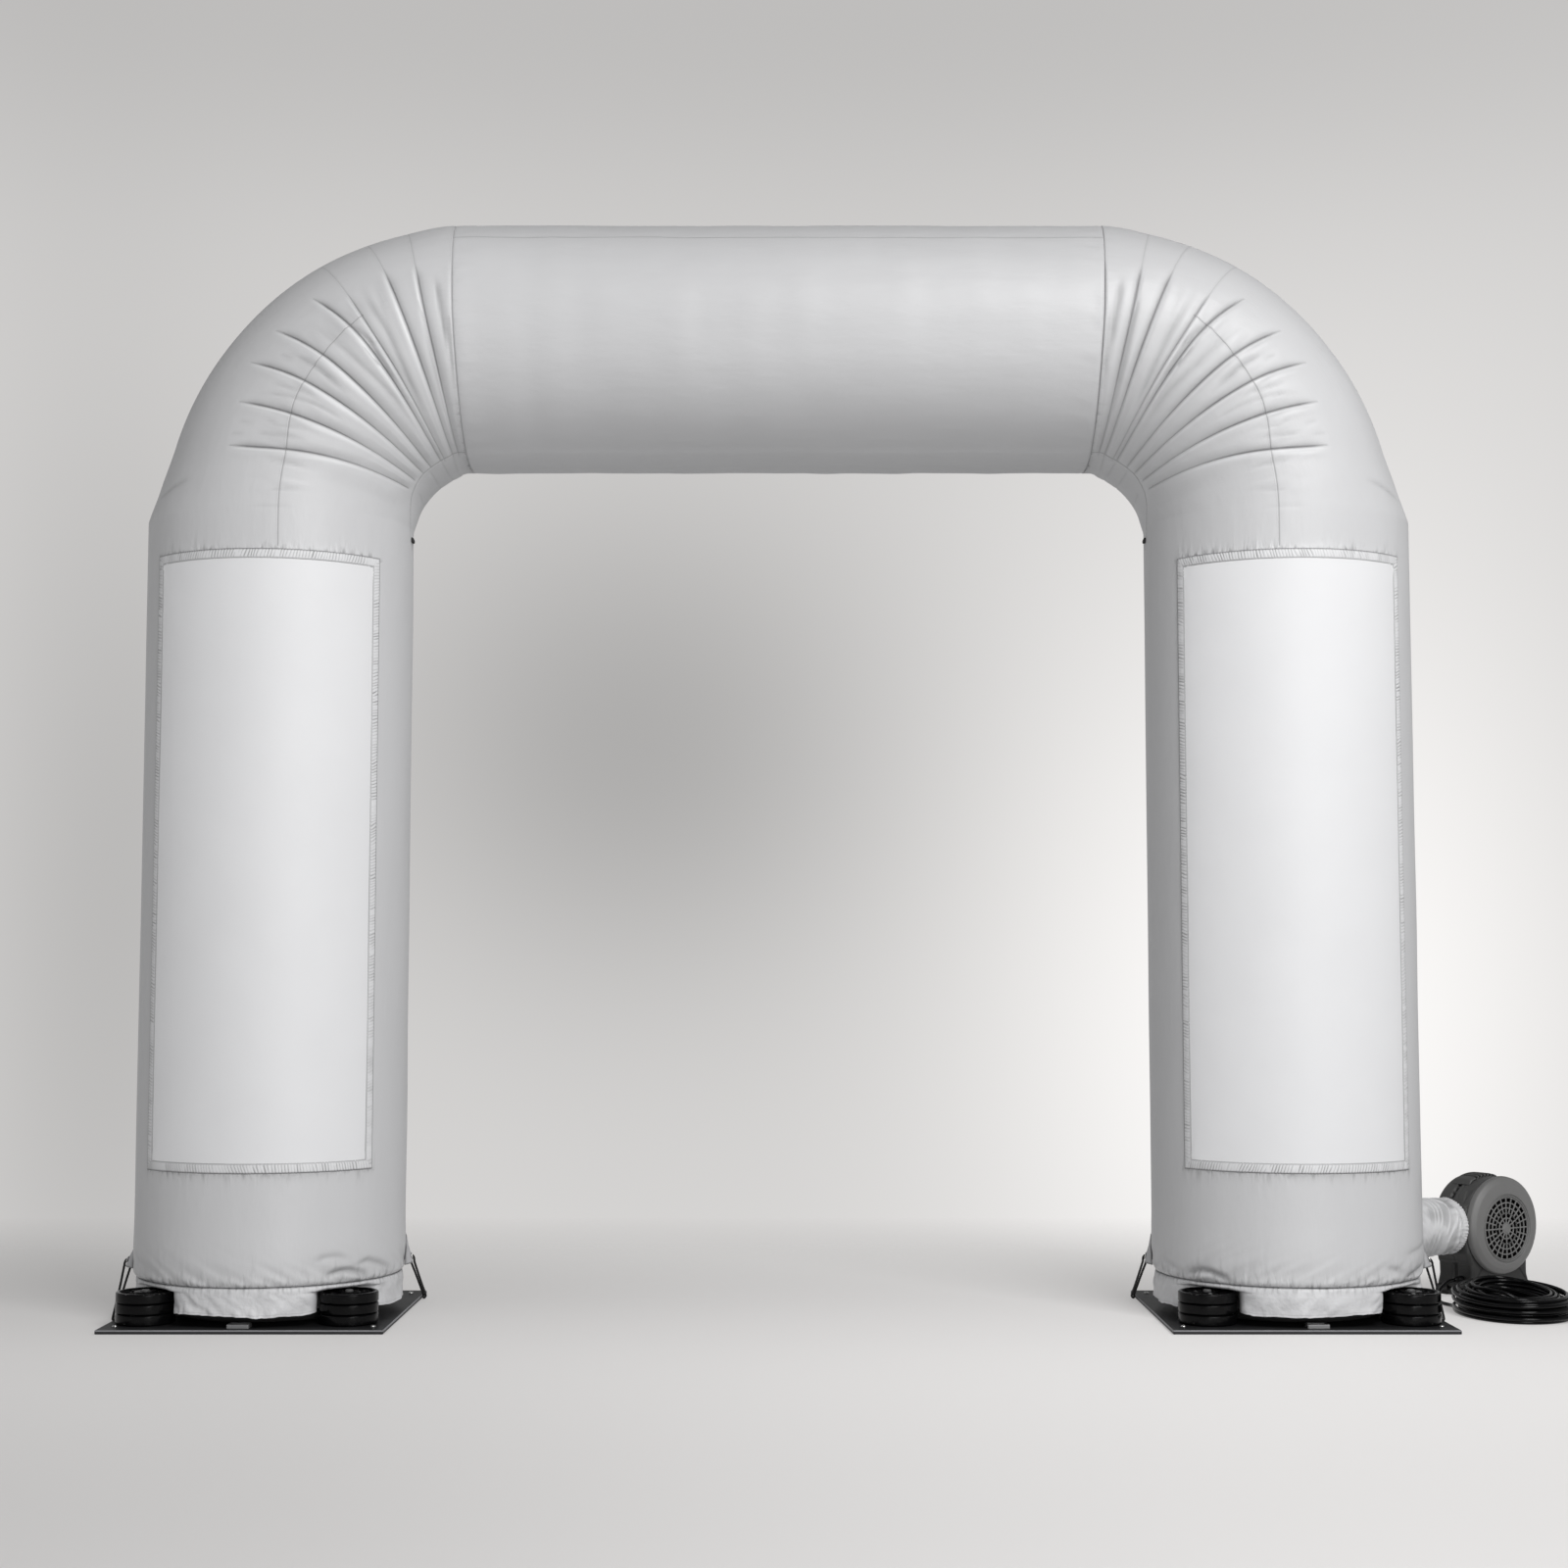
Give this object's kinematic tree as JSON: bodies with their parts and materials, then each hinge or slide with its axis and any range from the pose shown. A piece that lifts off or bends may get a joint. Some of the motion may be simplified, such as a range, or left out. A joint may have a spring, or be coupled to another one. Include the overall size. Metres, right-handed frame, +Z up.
{
  "type": "inflatable arch with weighted base plates and blower",
  "caption": "Air-filled fabric arch with upright legs, gored bends and a level top, tied to steel plates under stacked weights, with a blower on a sleeve and a coiled cable.",
  "frame": {"origin": "on the floor, at the middle of the box round the arch and its blower; the arch's own middle is 0.226 m to -X and 0.093 m to -Y of it", "axes": "+X across the arch towards the leg with the blower, +Y along the walkway towards the back, +Z up"},
  "size_m": [4.4075, 1.0051, 3.323],
  "materials": {
    "tube_cloth": "coated woven cloth, satin, silver grey",
    "panel_cloth": "smooth printed cloth, matt, near white",
    "binding_cloth": "gathered coated cloth, satin, light grey",
    "skirt_cloth": "coated woven cloth, satin, light grey",
    "pad_cloth": "matt black cloth",
    "plate_steel": "satin black",
    "weight_iron": "black enamel, satin",
    "stud_steel": "bright",
    "tie_rope": "braided, black",
    "blower_plastic": "moulded, mid grey",
    "cord_rubber": "smooth, black"
  },
  "bodies": {
    "root": {"left_leg": "tube_cloth", "left_bend": "tube_cloth", "left_bend_strip": "tube_cloth", "left_panel": "panel_cloth", "left_binding": "binding_cloth", "left_skirt": "skirt_cloth", "left_base_pad": "pad_cloth", "left_plate": "plate_steel", "left_plate_clip": "plate_steel", "left_outer_weight_1": "weight_iron", "left_outer_weight_2": "weight_iron", "left_outer_weight_3": "weight_iron", "left_outer_stud": "stud_steel", "left_outer_tab": "skirt_cloth", "left_outer_tie": "tie_rope", "left_inner_weight_1": "weight_iron", "left_inner_weight_2": "weight_iron", "left_inner_weight_3": "weight_iron", "left_inner_stud": "stud_steel", "left_inner_tab": "skirt_cloth", "left_inner_tie": "tie_rope", "right_leg": "tube_cloth", "right_bend": "tube_cloth", "right_bend_strip": "tube_cloth", "right_panel": "panel_cloth", "right_binding": "binding_cloth", "right_skirt": "skirt_cloth", "right_base_pad": "pad_cloth", "right_plate": "plate_steel", "right_plate_clip": "plate_steel", "right_outer_weight_1": "weight_iron", "right_outer_weight_2": "weight_iron", "right_outer_weight_3": "weight_iron", "right_outer_stud": "stud_steel", "right_outer_tab": "skirt_cloth", "right_outer_tie": "tie_rope", "right_inner_weight_1": "weight_iron", "right_inner_weight_2": "weight_iron", "right_inner_weight_3": "weight_iron", "right_inner_stud": "stud_steel", "right_inner_tab": "skirt_cloth", "right_inner_tie": "tie_rope", "top_tube": "tube_cloth", "blower_sleeve": "tube_cloth", "blower_base": "blower_plastic", "blower_housing": "blower_plastic", "blower_hump": "blower_plastic", "blower_face": "blower_plastic", "blower_grille": "blower_plastic", "blower_motor": "blower_plastic", "blower_collar": "blower_plastic", "blower_gland": "cord_rubber", "cord_lead": "cord_rubber", "cord_coil": "cord_rubber", "cord_plug": "cord_rubber"}
  },
  "joints": []
}
